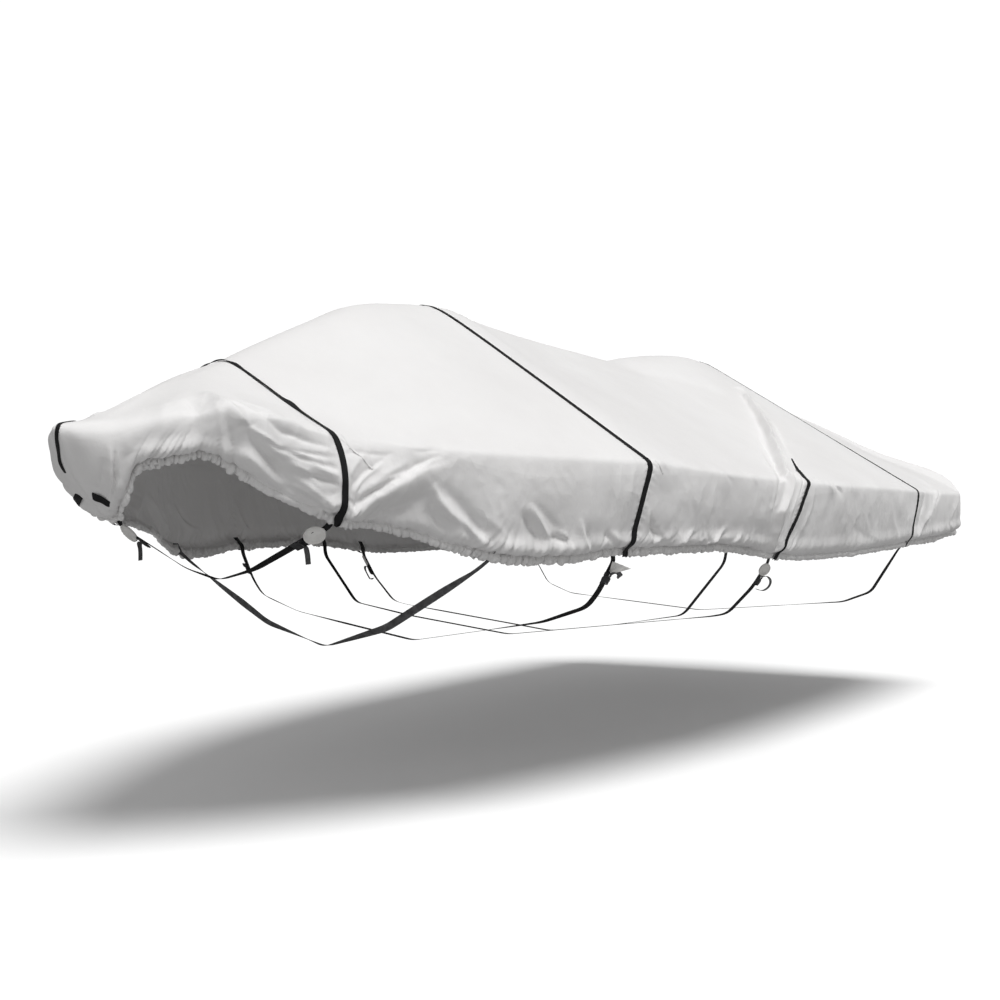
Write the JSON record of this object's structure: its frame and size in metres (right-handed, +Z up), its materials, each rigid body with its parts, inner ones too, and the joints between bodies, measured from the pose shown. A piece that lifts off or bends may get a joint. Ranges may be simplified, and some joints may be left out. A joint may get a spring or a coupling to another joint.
{
  "type": "boat cover",
  "caption": "Fitted trailering cover for an open motor boat, drawn over hull and console humps, with an elastic hem, black webbing straps and side-release tie-downs.",
  "frame": {"origin": "underside of the cloth on the centreline at the crest of the front hump, where the hull's frame holds the cover up", "axes": "+X aft along the boat, +Y to starboard, +Z up"},
  "size_m": [5.7596, 2.3946, 1.3658],
  "materials": {
    "cover_cloth": "light grey coated woven polyester, matt",
    "pale_cloth": "off-white woven cloth, matt",
    "webbing": "black ribbed polyester webbing",
    "grey_webbing": "dark grey ribbed webbing",
    "buckle": "black moulded plastic, satin"
  },
  "bodies": {
    "root": {"cover": "cover_cloth", "strap_front": "webbing", "strap_mid": "webbing", "strap_stern": "webbing", "strap_aft_port": "webbing", "strap_aft_starboard": "webbing", "bow_strap": "webbing", "bow_belt": "webbing", "under_strap_a": "webbing", "under_strap_b": "webbing", "under_strap_c": "webbing", "under_strap_d": "webbing", "under_strap_e": "webbing", "under_strap_f": "webbing", "pouch_front_port": "pale_cloth", "pouch_front_starboard": "pale_cloth", "pouch_aft_port": "pale_cloth", "pouch_aft_starboard": "pale_cloth", "flap_mid_port": "pale_cloth", "flap_mid_starboard": "pale_cloth", "buckle_front_port": "buckle", "buckle_front_starboard": "buckle", "buckle_mid_port": "buckle", "buckle_mid_starboard": "buckle", "buckle_aft_port": "buckle", "buckle_aft_starboard": "buckle", "tail_front_port": "grey_webbing", "tail_front_starboard": "grey_webbing", "tail_mid_port": "grey_webbing", "tail_mid_starboard": "grey_webbing", "tail_aft_port": "grey_webbing", "tail_aft_starboard": "grey_webbing"}
  },
  "joints": []
}
